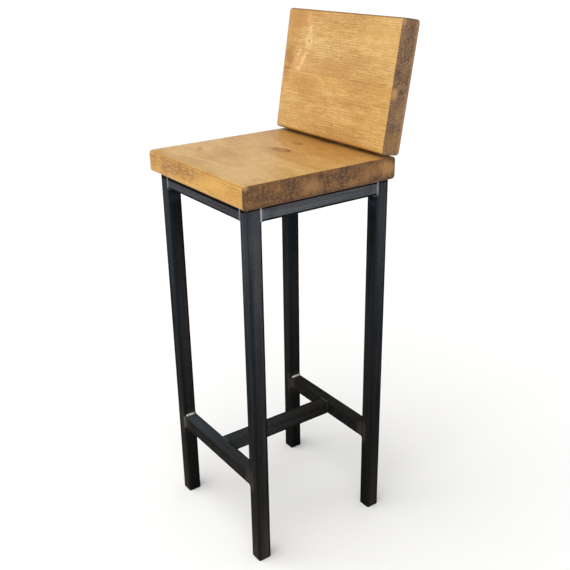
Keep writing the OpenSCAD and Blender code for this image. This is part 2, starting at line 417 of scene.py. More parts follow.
    def face(self, rings_seen, grain, glue_dark, stains, sawn_stains, tint_and_shade, edge_tint_and_shade):
        m = self.m
        glue_line = self.y.fall(0.2 * MM, 0.9 * MM)
        face = m.mix(self.face_grain(rings_seen, grain), LATEWOOD, glue_line * glue_dark)
        face = self.saw_marks(face, sawn_stains)
        for *patch, colour, share in stains:
            stain = self.stain(self.x, self.y, patch, (60, 130, 130), 2.2, 4, 0.65)
            face = m.mix(face, colour, stain * share)
        face = self.with_knots(face)
        # Each board's tint; on the rear seat board this is painted shade from the backrest.
        face = m.mix(face, tint_and_shade, 1.0, "MULTIPLY")
        # Sawn edges: the seat's tint; on the backrest this darkening is painted shade.
        return m.mix(face, edge_tint_and_shade, self.sawn_edge, "MULTIPLY")

    def end(self, tones, end_rings, stains, low_colour, low_tall, wide):
        """End grain. low_colour is the tone of its lowest strip, low_tall how high that strip fades out."""
        dark, brown, light = tones
        underside = -BOARD_THICK / 2
        blotch = self.cloud((25, 34, 48), 9, 3, 0.55)
        rings_show = self.from_pith.fall(16 * MM, 42 * MM) * end_rings
        rings_show = rings_show * self.stroke.most(self.cross_stroke).rise(0.42, 0.60)
        low_strip = self.z.fall(underside + 1.5 * MM, underside + low_tall)
        outer_corner = self.y.rise(wide - 3.2 * MM, wide - 1.0 * MM) * self.z.fall(8 * MM, 14 * MM)
        end = self.m.coats(dark, (brown, blotch.rise(0.38, 0.56)), (light, blotch.rise(0.54, 0.74) * 0.4))
        for *patch, colour, share in stains:
            stain = self.stain(self.y, self.z, patch, (40, 70, 70), 1.4, fade=(0.2, 1.2))
            end = self.m.mix(end, colour, stain * share)
        return self.m.coats(
            end,
            (light, self.stroke.rise(0.51, 0.61) * 0.62),
            (light, self.cross_stroke.rise(0.54, 0.64) * 0.50),
            (dark, self.speck.rise(0.48, 0.60) * 0.50),
            (light, self.speck.fall(0.34, 0.46) * 0.34),
            (light, self.light_ring * rings_show),
            (dark, (1 - self.light_ring) * rings_show * 0.5),
            (low_colour, low_strip * 0.5),
            (dark, outer_corner * 0.7),
        )

    def end_share(self):
        """1 on the end grain and 0 elsewhere, with a ragged border."""
        ragged = (self.cloud((400, 500, 500), 10, 2) - 0.5) * 0.6
        return (self.out_x + ragged).rise(0.22, 0.55)

    def worn(self, colour, end_on, left_end):
        """Grime in the pores, and brown wax on the roundings. left_end is the sign of x at the left end."""
        grime = self.cloud((90, 150, 150), 11, 4, 0.65)
        rounding = 1 - self.out_x.most(self.out_y).most(self.out_z)
        end_arris = self.out_x.rise(0.15, 0.50) * self.out_x.fall(0.80, 0.98) * (1 - self.out_z)
        from_left = BOARD_LONG / 2 - self.x * left_end
        from_right = BOARD_LONG / 2 + self.x * left_end
        return self.m.coats(
            colour,
            (KNOT_CORE, grime.rise(0.60, 0.72) * 0.30),
            (LATEWOOD, rounding.rise(0.02, 0.26) * (grime * 0.7 + 0.10)),
            (ARRIS_DARK, end_arris * 0.75),
            (ARRIS_BROWN, from_left.fall(1.0 * MM, 3.6 * MM) * (1 - end_on) * 0.60),
            (ARRIS_DARK, from_right.fall(1.4 * MM, 3.2 * MM) * self.sawn_edge * 0.75),
        )

    def surface(self, colour, end_on):
        m = self.m
        height = self.fibre * 0.5 + self.streak * 0.6 + self.late * 0.5
        height = height + self.sawn_edge * self.flecks * 1.4
        height = height + end_on * (self.stroke * 1.5 + self.speck * 1.2)
        for reach in self.reaches:
            height = height - reach.fall(0.2, 1.2) * 0.5
        return m.surface({
            "Base Color": colour,
            "Roughness": 0.33 + self.broad * 0.10 + self.fibre * 0.10 + end_on * 0.20,
            "Specular IOR Level": 0.46,
            "Normal": m.bump(height, 0.25 * MM, 0.8),
        })


def waxed_pine(name, stand, shift, pith, ring, left_end, tones, edge_tint_and_shade, grain, glue_dark, low_colour,
               low_tall, wide, rings_seen, end_rings, knots=(), stains=(), sawn_stains=(), end_stains=(),
               tint_and_shade=UNTINTED):
    """Waxed softwood. Each stain is a patch, then its colour and its share. Each knot is a patch."""
    m = new_finish(name, stand)
    pine = Pine(m, shift, pith, ring, knots)
    face = pine.face(rings_seen, grain, glue_dark, stains, sawn_stains, tint_and_shade, edge_tint_and_shade)
    end = pine.end(tones, end_rings, end_stains, low_colour, low_tall, wide)
    end_on = pine.end_share()
    colour = pine.worn(m.mix(face, end, end_on), end_on, left_end)
    return pine.surface(colour, end_on)


# Steel
STEEL_BLACK = (0.0015, 0.0015, 0.0015)
STEEL_RUB = (0.09, 0.1, 0.11)
STEEL_BLUED = (0.028, 0.04, 0.054)
STEEL_VIOLET = (0.042, 0.036, 0.044)
STEEL_STRAW = (0.07, 0.058, 0.042)
STEEL_RUST = (0.05, 0.03, 0.019)
STEEL_GROUND = (0.15, 0.16, 0.17)
TEAL_EDGE = (0.008, 0.0155, 0.0215)
OLIVE_EDGE = (0.0078, 0.0078, 0.0066)
# Painted light laid on the tubes' tops.
PAINTED_TOP_LIGHT = (0.05, 0.059, 0.067)
# The rail tones are painted light and shade of the same kind: the top rails lighter and the low rails
# darker, as the legs are at those heights.
TOP_RAIL_LIT_TONE = (0.098, 0.104, 0.115)
LOW_RAIL_SHADED_TONE = (0.017, 0.0152, 0.0122)

# Tones up a leg, from the floor at 0 to the seat at 1: its outer faces, and then every tube's inner faces.
# The steel is of one tone, so this change with height is painted light and shade: lightest near the seat,
# darkest a little above the floor and lighter again at it. The inner faces also go dark up under the seat,
# as painted shade.
UPRIGHT_PAINTED_LIGHT = [
    (0, (0.04, 0.031, 0.023)),
    (0.06, (0.034, 0.028, 0.022)),
    (0.2, (0.0175, 0.0155, 0.013)),
    (0.34, (0.0165, 0.0155, 0.015)),
    (0.46, (0.019, 0.0188, 0.0195)),
    (0.64, (0.031, 0.031, 0.035)),
    (0.92, (0.07, 0.073, 0.082)),
]
INNER_PAINTED_SHADE = [
    (0, (0.0045, 0.004, 0.0034)),
    (0.2, (0.0085, 0.0076, 0.0064)),
    (0.3, (0.016, 0.0152, 0.0142)),
    (0.58, (0.0245, 0.0235, 0.025)),
    (0.92, (0.007, 0.008, 0.01)),
]


def nearest_middle(value, first, second):
    """How far a point lies from the middle of the nearer of two tubes, towards plus."""
    halfway = (first + second) / 2
    beyond = value.rise(halfway - 0.1 * MM, halfway + 0.1 * MM)
    return value - beyond * (second - first) - first


def weld_nearness(m, x, y, z):
    """How far a point of the frame lies from the nearest weld between a leg and a rail."""
    from_leg_x = abs(x - middle_x) - (leg_right - middle_x - TUBE / 2)
    from_leg_y = abs(y - middle_y) - (leg_rear - middle_y - TUBE / 2)
    from_top = abs(z - top_middle).most(TUBE / 2) - TUBE / 2
    from_low = abs(z - low_middle).most(TUBE / 2) - TUBE / 2
    short_x = (0 - from_leg_x).most(0)
    short_y = (0 - from_leg_y).most(0)
    across = m.length(from_leg_x, short_y, from_top)
    along = m.length(from_leg_y, short_x, from_top)
    low = m.length(from_leg_x, short_y, from_low)
    return across.least(along).least(low)


def drawn(along, lengthways, across):
    """Noise scales for marks that run along one axis."""
    return [lengthways if axis == along else across for axis in range(3)]


def outer_steel(m, outer, spot, faces, rear_shade, lit_side):
    """Outer faces, with painted shade that darkens them to the rear, to the left and on the front, and
    painted light on their tops, and on faces that look right where lit_side is 1.
    """
    x, y, z = spot
    front_shade = 0.30 + z.rise(0.01, 0.06) * 0.15 + z.rise(0.14, 0.34) * z.fall(0.48, 0.60) * 0.20
    # Painted light on the tops, fading towards the rear and strongest to the left.
    top_light = faces[2].most(faces[0] * lit_side).rise(0.4, 0.9) * y.fall(-0.13, 0.07)
    return m.coats(
        outer,
        (STEEL_BLACK, y.rise(leg_front, leg_rear) * rear_shade),
        (STEEL_BLACK, x.fall(leg_left, leg_right) * rear_shade * 0.8),
        (STEEL_BLACK, faces[1].fall(-0.95, -0.45) * front_shade),
        (PAINTED_TOP_LIGHT, top_light * (0.38 + x.fall(-0.09, 0.03) * 0.50)),
    )


def inward_share(x, y, faces):
    """1 on a face that looks towards the middle of the stool."""
    inward_x = 0 - faces[0] * (x - middle_x) / abs(x - middle_x)
    inward_y = 0 - faces[1] * (y - middle_y) / abs(y - middle_y)
    return inward_x.most(inward_y).rise(0.4, 0.9)


def rolled_marks(m, colour, streak, broad, mottle, lively):
    return m.coats(
        colour,
        (STEEL_RUB, streak.rise(0.50, 0.68) * lively * 0.22),
        (STEEL_BLUED, broad.rise(0.50, 0.64) * lively * 0.35),
        (STEEL_VIOLET, broad.fall(0.36, 0.48) * lively * 0.30),
        (STEEL_BLACK, streak.fall(0.36, 0.48) * 0.30),
        (STEEL_BLACK, mottle.rise(0.50, 0.66) * 0.30),
        (STEEL_RUB, mottle.fall(0.34, 0.48) * 0.08),
    )


def weld_heat(m, colour, spot, patch):
    """Blue, straw and ground tones round the welds. The low welds show straw only."""
    away = weld_nearness(m, *spot) + (patch - 0.5) * 8 * MM
    high = spot[2].rise(0.35, 0.50)
    return m.coats(
        colour,
        (STEEL_BLUED, away.rise(8 * MM, 14 * MM) * away.fall(16 * MM, 34 * MM) * high * 0.35),
        (STEEL_STRAW, away.fall(5 * MM, 18 * MM) * (1 - high) * 0.35),
        (STEEL_GROUND, away.fall(1.5 * MM, 5 * MM) * high * 0.35),
    )


def corner_scale(m, colour, spot, faces, from_banded_corner, edge_wide, edge_share, joined):
    """A dark band, teal high up and olive low down, along one corner; painted shade along the two corners
    beside it, which form the tube's outline seen from the front right; and a painted shadow line under the
    seat. joined is 1 where the stretcher's ends interrupt the painted dark corner."""
    x, y, z = spot
    edge_tone = m.mix(OLIVE_EDGE, TEAL_EDGE, z.rise(0.22, 0.46))
    edge_show = from_banded_corner.fall(edge_wide * 0.2, edge_wide) * (1 - z.rise(0.50, 0.62) * 0.45)
    colour = m.mix(colour, edge_tone, edge_show * edge_share)
    # Painted shade: a black line along the two outline corners.
    painted_dark_edge = from_banded_corner.rise(TUBE - 4.6 * MM, TUBE - 3.0 * MM)
    painted_dark_edge = painted_dark_edge * from_banded_corner.fall(TUBE + 1 * MM, TUBE + 3 * MM)
    crossing = abs(x - stretcher_middle).fall(TUBE / 2 - 1 * MM, TUBE / 2 + 2 * MM) * joined
    painted_dark_edge = painted_dark_edge * (1 - crossing)
    # Painted shadow of the seat along the top of the frame, reaching lower on front faces clear of the near
    # leg.
    clear_of_near_leg = x.fall(leg_right - 4 * MM, leg_right + 11 * MM)
    shaded = z + (0 - faces[1]).most(0) * clear_of_near_leg * 5.1 * MM
    painted_seat_shadow = shaded.rise(frame_top - 5.4 * MM, frame_top - 3.9 * MM)
    return m.mix(colour, STEEL_BLACK, painted_dark_edge.most(painted_seat_shadow) * 0.97)


def mill_scale(name, along, shift, tones, edge_wide, edge_share, columns, rear_shade=0.0, lit_side=0.0,
               joined=0.0):
    """Hot-rolled box section under clear lacquer. along is the axis that the tube runs on: 0, 1 or 2.
    The faces that look inwards are darkened as painted shade. Outer faces carry painted light, lightest
    near the seat.
    A dark band, teal high up and olive low down, runs along the corner towards the front right, and painted
    shade darkens the two corners beside it."""
    m = new_finish(name)
    place = m.place()
    spot = m.split(place)
    x, y, z = spot
    faces = m.facing()

    streak = m.cloud(place, drawn(along, 6, 300), shift, 3, 0.6)
    broad = m.cloud(place, drawn(along, 5, 70), shift + 1, 3, 0.55)
    patch = m.cloud(place, (45, 45, 45), shift + 2, 4, 0.6)
    mottle = m.cloud(place, (330, 330, 330), shift + 5, 3, 0.65)
    grain = m.cloud(place, (1400, 1400, 1400), shift + 3, 2)

    up = z / frame_top + (patch - 0.5) * 0.12
    outer = outer_steel(m, m.ramp(up, tones), spot, faces, rear_shade, lit_side)
    # Inner faces: painted shade, darker still towards the rear.
    inner = m.mix(m.ramp(up, INNER_PAINTED_SHADE), STEEL_BLACK, y.rise(leg_front, leg_rear) * 0.40)
    inward = inward_share(x, y, faces)
    # The lighter rub marks and tints fade low down and on the inward faces; that fading is painted shade.
    lively = (0.30 + z.rise(0.1, 0.6) * 0.70) * (1 - inward * 0.75)
    colour = rolled_marks(m, m.mix(outer, inner, inward), streak, broad, mottle, lively)
    rust = m.cloud(place, (25, 25, 12), shift + 4, 5, 0.65).rise(0.56, 0.74) * z.fall(0.05, 0.30)
    colour = m.mix(colour, STEEL_RUST, rust * 0.30)
    colour = weld_heat(m, colour, spot, patch)

    off = [
        nearest_middle(x, *columns),
        0 - nearest_middle(y, leg_front, leg_rear),
        nearest_middle(z, low_middle, top_middle),
    ]
    one, other = [off[axis] for axis in range(3) if axis != along]
    from_banded_corner = TUBE - one - other
    colour = corner_scale(m, colour, spot, faces, from_banded_corner, edge_wide, edge_share, joined)
    height = grain * 0.25 + streak * 0.5 + patch * 0.6
    return m.surface({
        "Base Color": colour,
        "Metallic": 0.02 + lively * 0.04,
        "Roughness": 0.42 + patch * 0.16 + streak * 0.08,
        "Specular IOR Level": 0.01,
        "Normal": m.bump(height, 0.12 * MM, 0.7),
    })


FLAT_DARK = (0.0150, 0.0148, 0.0150)
FLAT_LIGHT = (0.0440, 0.0490, 0.0560)


def flat_bar_steel(shift):
    """Hot-rolled flat bar, for the brackets and their packers."""
    m = new_finish("flat_bar_steel")
    place = m.place()
    streak = m.cloud(place, (240, 240, 7), shift, 3, 0.6)
    patch = m.cloud(place, (50, 50, 40), shift + 1, 4, 0.6)
    grain = m.cloud(place, (1300, 1300, 1300), shift + 2, 2)
    rust = m.cloud(place, (30, 30, 30), shift + 3, 5, 0.65)
    colour = m.coats(
        FLAT_DARK,
        (FLAT_LIGHT, patch.rise(0.35, 0.65)),
        (STEEL_RUB, streak.rise(0.55, 0.80) * 0.4),
        (STEEL_RUST, rust.rise(0.60, 0.75) * 0.3),
    )
    return m.surface({
        "Base Color": colour,
        "Metallic": 0.35,
        "Roughness": 0.38 + patch * 0.18,
        "Specular IOR Level": 0.25,
        "Normal": m.bump(grain * 0.3 + patch * 0.6, 0.12 * MM, 0.7),
    })


def ground_weld_metal():
    """The bright strip that a grinder leaves where a top rail meets a leg, with painted shade that dulls it
    on front faces and towards the rear.
    """
    m = new_finish("ground_weld_metal")
    place = m.place()
    brushed = m.cloud(place, (900, 900, 60), 0.3, 3, 0.6)
    patch = m.cloud(place, (160, 160, 70), 0.9, 3, 0.6)
    y = m.split(place)[1]
    out_y = m.facing()[1]
    # Painted shade on front faces and towards the rear.
    front_and_rear_shade = (out_y.fall(-0.95, -0.45) * 0.62).most(y.rise(leg_front, leg_rear) * 0.55)
    colour = m.coats(
        (0.22, 0.25, 0.28),
        ((0.46, 0.50, 0.54), brushed.rise(0.35, 0.65)),
        ((0.12, 0.12, 0.12), patch.rise(0.46, 0.68) * 0.75),
        ((0.060, 0.066, 0.072), front_and_rear_shade),
    )
    return m.surface({
        "Base Color": colour,
        "Metallic": 0.70 - front_and_rear_shade * 0.4,
        "Roughness": 0.36 + patch * 0.16,
        "Normal": m.bump(brushed, 0.08 * MM, 0.7),
    })


def blended_weld_metal():
    """A ground weld that has gone back to the tubes' own tone: tan on its sides, and lighter and bluer on
    top, where the lighter top is painted light like the tubes' tops.
    """
    m = new_finish("blended_weld_metal")
    place = m.place()
    out_z = m.facing()[2]
    brushed = m.cloud(place, (500, 500, 500), 0.5, 3, 0.6)
    patch = m.cloud(place, (150, 150, 150), 1.9, 3, 0.6)
    side = m.mix((0.014, 0.0125, 0.0105), (0.024, 0.021, 0.018), patch.rise(0.40, 0.70))
    # Painted light: the tops are lighter.
    top = m.mix((0.034, 0.040, 0.046), (0.056, 0.064, 0.072), patch.rise(0.35, 0.65))
    return m.surface({
        "Base Color": m.mix(side, top, out_z.rise(0.4, 0.9)),
        "Metallic": 0.08,
        "Roughness": 0.42 + brushed * 0.16,
        "Specular IOR Level": 0.03,
        "Normal": m.bump(brushed, 0.08 * MM, 0.6),
    })


def weld_bead_metal(name, dark, light, soot_share):
    """A fillet weld as it was laid down, with soot between its drops."""
    m = new_finish(name)
    place = m.place()
    patch = m.cloud(place, (190, 190, 190), 1.3, 3, 0.6)
    soot = m.cloud(place, (420, 420, 420), 2.3, 3, 0.6)
    soot_show = soot.rise(0.50, 0.68) * soot_share
    colour = m.coats(dark, (light, patch.rise(0.35, 0.60)), ((0.050, 0.042, 0.034), soot_show))
    return m.surface({
        "Base Color": colour,
        "Metallic": 0.55,
        "Roughness": 0.38 + soot * 0.2,
        "Normal": m.bump(soot, 0.1 * MM, 0.6),
    })


def moulded_black():
    """The pebbled plastic of the leg plugs."""
    m = new_finish("moulded_black")
    place = m.place()
    pebble = m.cells(place, (1500, 1500, 1500))
    scuff = m.cloud(place, (120, 120, 60), 0.4, 4, 0.65)
    colour = m.mix((0.011, 0.011, 0.012), (0.040, 0.038, 0.035), scuff.rise(0.52, 0.75) * 0.7)
    return m.surface({
        "Base Color": colour,
        "Roughness": 0.48 + scuff * 0.2,
        "Specular IOR Level": 0.4,
        "Normal": m.bump(pebble, 0.05 * MM, 0.6),
    })


def zinc_plate():
    """Zinc on the screws, with a yellow bloom."""
    m = new_finish("zinc_plate")
    place = m.place()
    bloom = m.cloud(place, (260, 260, 260), 0.7, 3, 0.6)
    colour = m.mix((0.62, 0.60, 0.54), (0.52, 0.44, 0.26), bloom.rise(0.40, 0.66))
    return m.surface({
        "Base Color": colour,
        "Metallic": 0.95,
        "Roughness": 0.26 + bloom * 0.16,
        "Normal": m.bump(bloom, 0.04 * MM, 0.5),
    })


# ---------------------------------------------------------------- boards

SECTION_STEP = 5 * MM
ROUND_STEPS = 9
EASE_STEPS = 3
ARRIS_STEPS = 5
LONG_STEPS = 50
SANDED_DEEP = 0.16 * MM
SANDED_FINE = 0.05 * MM


def arc(centre, radius, start, stop, steps):
    """Points of a board's section on one rounded corner, each with the way that it faces."""
    points = []
    for step in range(steps + 1):
        turn = math.radians(start + (stop - start) * step / steps)
        face = Vector((math.cos(turn), math.sin(turn)))
        points.append((Vector(centre) + face * radius, face))
    return points


def straight(start, stop, face, step):
    """Points between two corners, without the corners themselves."""
    start = Vector(start)
    stop = Vector(stop)
    count = max(1, round((stop - start).length / step))
    return [(start.lerp(stop, i / count), Vector(face)) for i in range(1, count)]


def board_section(wide):
    """Section of a board in Y and Z: glue edge at Y = 0, rounded edge at Y = wide."""
    half = BOARD_THICK / 2
    ease = GLUE_EASE
    bend = EDGE_ROUND
    step = SECTION_STEP
    up = Vector((0, 1))
    down = Vector((0, -1))
    still = Vector((0, 0))
    points = straight((ease, -half), (wide - bend, -half), down, step)
    points += arc((wide - bend, -half + bend), bend, -90, 0, ROUND_STEPS)
    points += straight((wide, -half + bend), (wide, half - bend), (1, 0), step)
    points += arc((wide - bend, half - bend), bend, 0, 90, ROUND_STEPS)
    points += straight((wide - bend, half), (ease, half), up, step)
    points += [(p, up) for p, face in arc((ease, half - ease), ease, 90, 180, EASE_STEPS)]
    points += straight((0, half - ease), (0, -half + ease), still, step)
    points += [(p, down) for p, face in arc((ease, -half + ease), ease, 180, 270, EASE_STEPS)]
    return points


def sanded(point, face, seed):
    """Takes a hand sander's unevenness off a point of the surface, up to 0.42 mm."""
    spot = point * 14 + Vector((seed, 0, 0))
    fine = point * 60 + Vector((0, seed, 0))
    depth = SANDED_DEEP * (noise.noise(spot) + 1) + SANDED_FINE * (noise.noise(fine) + 1)
    return point - face * depth


def skin(mesh, rows):
    """Faces between neighbouring rings of points."""
    count = len(rows[0])
    faces = []
    for near, far in zip(rows, rows[1:]):
        for i in range(count):
            j = (i + 1) % count
            faces.append(mesh.faces.new((near[i], near[j], far[j], far[i])))
    return faces


def stations(long):
    """Places along a board where its section stands, each with how far the end arris takes it in."""
    half = long / 2
    arris = []
    for step in range(ARRIS_STEPS + 1):
        turn = math.radians(90 * step / ARRIS_STEPS)
        arris.append((half - END_ARRIS * (1 - math.sin(turn)), END_ARRIS * (1 - math.cos(turn))))
    inner = [((half - END_ARRIS) * (1 - 2 * i / LONG_STEPS), 0.0) for i in range(1, LONG_STEPS)]
    return arris[::-1] + inner + [(-x, inset) for x, inset in arris]


def cap_end(mesh, row, section):
    """Closes a board's end: a narrow rim inside its arris, and then one flat face."""
    rim = []
    for vert, (spot, face) in zip(row, section):
        rim.append(mesh.verts.new(vert.co - Vector((0, face.x, face.y)) * END_RIM))
    gaps = [(inner.co - outer.co).length for inner, outer in zip(rim, row)]
    count = len(row)
    for i in range(count):
        j = (i + 1) % count
        if gaps[i] + gaps[j] > 0:
            mesh.faces.new((rim[i], rim[j], row[j], row[i]))
    mesh.faces.new(rim)


def make_board(name, wide, long, seed, matrix, finish, node):
    section = board_section(wide)
    mesh = bmesh.new()
    rows = []
    for x, inset in stations(long):
        row = []
        for (y, z), face in section:
            out = Vector((0, face.x, face.y))
            point = sanded(Vector((x, y, z)), out, seed) - out * inset
            row.append(mesh.verts.new(point))
        rows.append(row)
    skin(mesh, rows)
    cap_end(mesh, rows[0], section)
    cap_end(mesh, rows[-1], section)
    bmesh.ops.remove_doubles(mesh, verts=mesh.verts, dist=SAME_POINT)
    bmesh.ops.recalc_face_normals(mesh, faces=mesh.faces)
    for edge in mesh.edges:
        edge.smooth = edge.calc_face_angle(0) < SHARP_TURN
    mesh.transform(matrix)
    board = finished_piece(name, mesh, [finish], smooth=True)
    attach(board, "root")
    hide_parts(node)


def finished_piece(name, mesh, finishes, smooth):
    data = bpy.data.meshes.new(name)
    mesh.to_mesh(data)
    mesh.free()
    for finish in finishes:
        data.materials.append(finish)
    for polygon in data.polygons:
        polygon.use_smooth = smooth
    piece = bpy.data.objects.new(name, data)
    bpy.context.scene.collection.objects.link(piece)
    return piece


def axes(x, y, z, origin):
    """Matrix of a piece whose own axes point along x, y and z, standing at origin."""
    return Matrix.Translation(origin) @ Matrix((x, y, z)).transposed().to_4x4()


def make_seat():
    """Two boards, glued edge to edge. The front one is turned, so its glue edge meets the rear one's."""
    front_low, front_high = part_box("seat_board_front")
    rear_low, rear_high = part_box("seat_board_rear")
    long = front_high.x - front_low.x
    glue = Vector(((front_low.x + front_high.x) / 2, rear_low.y, (front_low.z + front_high.z) / 2))
    wide_front = glue.y - front_low.y
    wide_rear = rear_high.y - glue.y
    turned = axes(-X, -Y, Z, glue)
    plain = axes(X, Y, Z, glue)
    front_pine = waxed_pine(
        "pine_seat_front", turned, 11.0, pith=(64, -58), ring=4.6, left_end=1, end_rings=0.25,
        knots=[(-128, 114, 3.2, 1.6, 20)],
        stains=[
            (100, 78, 18, 6, -35, (0.300, 0.130, 0.040), 0.95),
            (95, 62, 22, 12, -20, HONEY_PALE, 0.5),
            (84, 40, 60, 3, 12, LATEWOOD, 0.35),
            (20, 110, 90, 5, 8, CREAM, 0.40),
            (110, 60, 60, 34, -20, PEACH, 0.40),
            (-60, 104, 70, 30, 10, PEACH, 0.35),
        ],
        sawn_stains=[
            (94, 0, 22, 22, 0, SAWN_BROWN, 1.00),
            (58, 6, 30, 18, 0, SAWN_BROWN, 0.95),
            (20, 6, 42, 17, 0, SAWN_BROWN, 0.95),
            (-24, 9, 34, 9, 0, SAWN_BROWN, 0.65),
            (132, 4, 16, 14, 0, SAWN_BROWN, 0.60),
            (-60, 4, 60, 16, 0, HONEY_PALE, 0.60),
        ],
        end_stains=[
            (120, -3, 28, 16, 0, SEAT_END[0], 0.88),
            (66, 2, 16, 11, 0, SEAT_END[0], 0.55),
            (24, -2, 24, 15, 0, (0.360, 0.180, 0.060), 0.80),
            (148, 19, 11, 7, 30, (0.580, 0.365, 0.200), 0.95),
        ],
        **SEAT_LOOK,
    )
    rear_pine = waxed_pine(
        "pine_seat_rear", plain, 23.0, pith=(38, -26), ring=4.8, left_end=-1, end_rings=0.35,
        tint_and_shade=SHADED_REAR,
        knots=[(-5, 29, 18, 7.5, 14), (-26, 79, 10, 5, 12), (-5, 126, 10, 5, 10)],
        stains=[
            (-90, 66, 60, 3, -14, (0.70, 0.48, 0.19), 0.6),
            # Painted shade: this deep patch over the rear of the board, beside the backrest, is shade from
            # the backrest.
            (0, 120, 240, 80, 0, HONEY_DEEP, 0.92),
            (-5, 25, 52, 18, 8, HONEY_DEEP, 0.75),
            (34, 84, 16, 2.5, 10, LATEWOOD, 0.60),
        ],
        end_stains=[
            (34, 7, 18, 11, 0, SEAT_END[0], 0.85),
            (64, 10, 14, 7, 0, SEAT_END[0], 0.60),
            (58, -10, 16, 8, 0, (0.340, 0.170, 0.055), 0.50),
            (96, 0, 22, 15, 0, (0.340, 0.165, 0.042), 0.55),
            (132, 2, 18, 18, 0, (0.450, 0.240, 0.070), 0.75),
        ],
        **SEAT_LOOK,
    )
    make_board("seat_front", wide_front, long, 3.0, turned, front_pine, "seat_board_front")
    make_board("seat_rear", wide_rear, long, 5.0, plain, rear_pine, "seat_board_rear")


def make_backrest():
    """Two boards, glued edge to edge and leaning back. heel is the foot of the backrest's rear face."""
    lower_low, lower_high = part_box("back_board_lower")
    upper_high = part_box("back_board_upper")[1]
    up = Vector((0, math.sin(BACK_LEAN), math.cos(BACK_LEAN)))
    out = Vector((0, -math.cos(BACK_LEAN), math.sin(BACK_LEAN)))
    heel_z = lower_low.z - EDGE_ROUND * (up.z + out.z - 1)
    heel_y = upper_high.y - (BACK_TALL - EDGE_ROUND) * up.y - EDGE_ROUND * (out.y + 1)
    heel = Vector(((lower_low.x + lower_high.x) / 2, heel_y, heel_z))
    glue = heel + up * (BACK_TALL / 2) + out * (BOARD_THICK / 2)
    upright = axes(X, up, out, glue)
    hanging = axes(-X, -up, out, glue)
    upper_pine = waxed_pine(
        "pine_back_upper", upright, 37.0, pith=(72, 21), ring=4.4, left_end=-1, rings_seen=0.50,
        tint_and_shade=WARM_UPPER,
        knots=[(-81, 54, 1.9, 2.2, 0)],
        stains=[
            (-120, 86, 30, 24, 20, HONEY_DEEP, 0.80),
            (-86, 90, 10, 18, 0, ROSY, 0.80),
            (-80, 71, 5, 12, 0, CREAM, 0.75),
            (-80, 54, 16, 16, 0, CREAM, 0.75),
            (-50, 58, 24, 6, 12, CREAM, 0.45),
            (-104, 20, 20, 10, 58, ROSY, 0.75),
            (-92, 21, 24, 6, 58, CREAM, 0.75),
            (-106, 33, 11, 4, 58, CREAM, 0.60),
            (-104, 5, 8, 6, 0, CREAM, 0.70),
            (-135, 20, 18, 28, 0, AMBER, 1.00),
            (112, 72, 64, 40, 0, HONEY_PALE, 0.40),
            (-141, -3, 9, 7, 0, (0.330, 0.150, 0.035), 0.90),
            (-10, 10, 100, 22, 0, HONEY_DEEP, 0.45),
        ],
        end_stains=[
            (104, 16, 11, 7, 0, (0.480, 0.290, 0.150), 0.90),
            (58, 4, 34, 14, 0, BACK_END[0], 0.70),
        ],
        **BACK_LOOK,
    )
    lower_pine = waxed_pine(
        "pine_back_lower", hanging, 53.0, pith=(39, 20), ring=4.4, left_end=1, rings_seen=0.46,
        tint_and_shade=WARM_LOWER,
        knots=[(-13, 80, 1.6, 1.4, 0), (-18, 91, 1.4, 1.2, 0)],
        stains=[
            (80, 20, 80, 24, 0, HONEY_DEEP, 0.35),
            (139, 3, 13, 13, 0, AMBER, 0.75),
        ],
        end_stains=[
            (9, 13, 12, 9, 0, (0.580, 0.290, 0.090), 0.95),
            (88, -2, 26, 20, 0, (0.290, 0.125, 0.020), 0.80),
        ],
        **BACK_LOOK,
    )
    make_board("back_upper", BACK_BOARD_WIDE, BOARD_LONG, 7.0, upright, upper_pine, "back_board_upper")
    make_board("back_lower", BACK_BOARD_WIDE, BOARD_LONG, 9.0, hanging, lower_pine, "back_board_lower")


# ---------------------------------------------------------------- welds

# Where each finish stands in the list that the welds are made with
GROUND, BLENDED, SOOTY, BRIGHT = range(4)


def add_tube_of_rings(mesh, rings, material):
    """Joins rings of points into one closed solid."""
    rows = [[mesh.verts.new(p) for p in ring] for ring in rings]
    faces = skin(mesh, rows)
    faces.append(mesh.faces.new(rows[0][::-1]))
    faces.append(mesh.faces.new(rows[-1]))
    for face in faces:
        face.material_index = material


def add_bead(mesh, middle, along, wall_a, wall_b, long, seed, finish=SOOTY):
    """A raised fillet weld in the corner between two walls, laid down as overlapping drops."""
    random.seed(seed)
    drops = 7
    steps = 56
    fan = 8
    drift = [random.uniform(0.88, 1.0) for drop in range(drops + 1)]
    rings = []
    for step in range(steps + 1):
        share = step / steps
        drop = share * drops
        ripple = 0.80 + 0.20 * math.sqrt(1 - (drop % 1) ** 2 * 0.9)
        taper = min(1.0, 0.35 + 9 * min(share, 1 - share))
        reach = BEAD * ripple * drift[int(min(drop, drops))] * taper
        core = middle + along * (share - 0.5) * long
        ring = [core - (wall_a + wall_b) * WELD_SUNK]
        for turn in range(fan + 1):
            angle = math.radians(90 * turn / fan)
            belly = 0.86 + 0.08 * math.sin(2 * angle)
            ring.append(core + (wall_a * math.cos(angle) + wall_b * math.sin(angle)) * reach * belly)
        ring[1] = ring[1] - wall_b * WELD_SUNK
        ring[-1] = ring[-1] - wall_a * WELD_SUNK
        rings.append(ring)
    add_tube_of_rings(mesh, rings, finish)


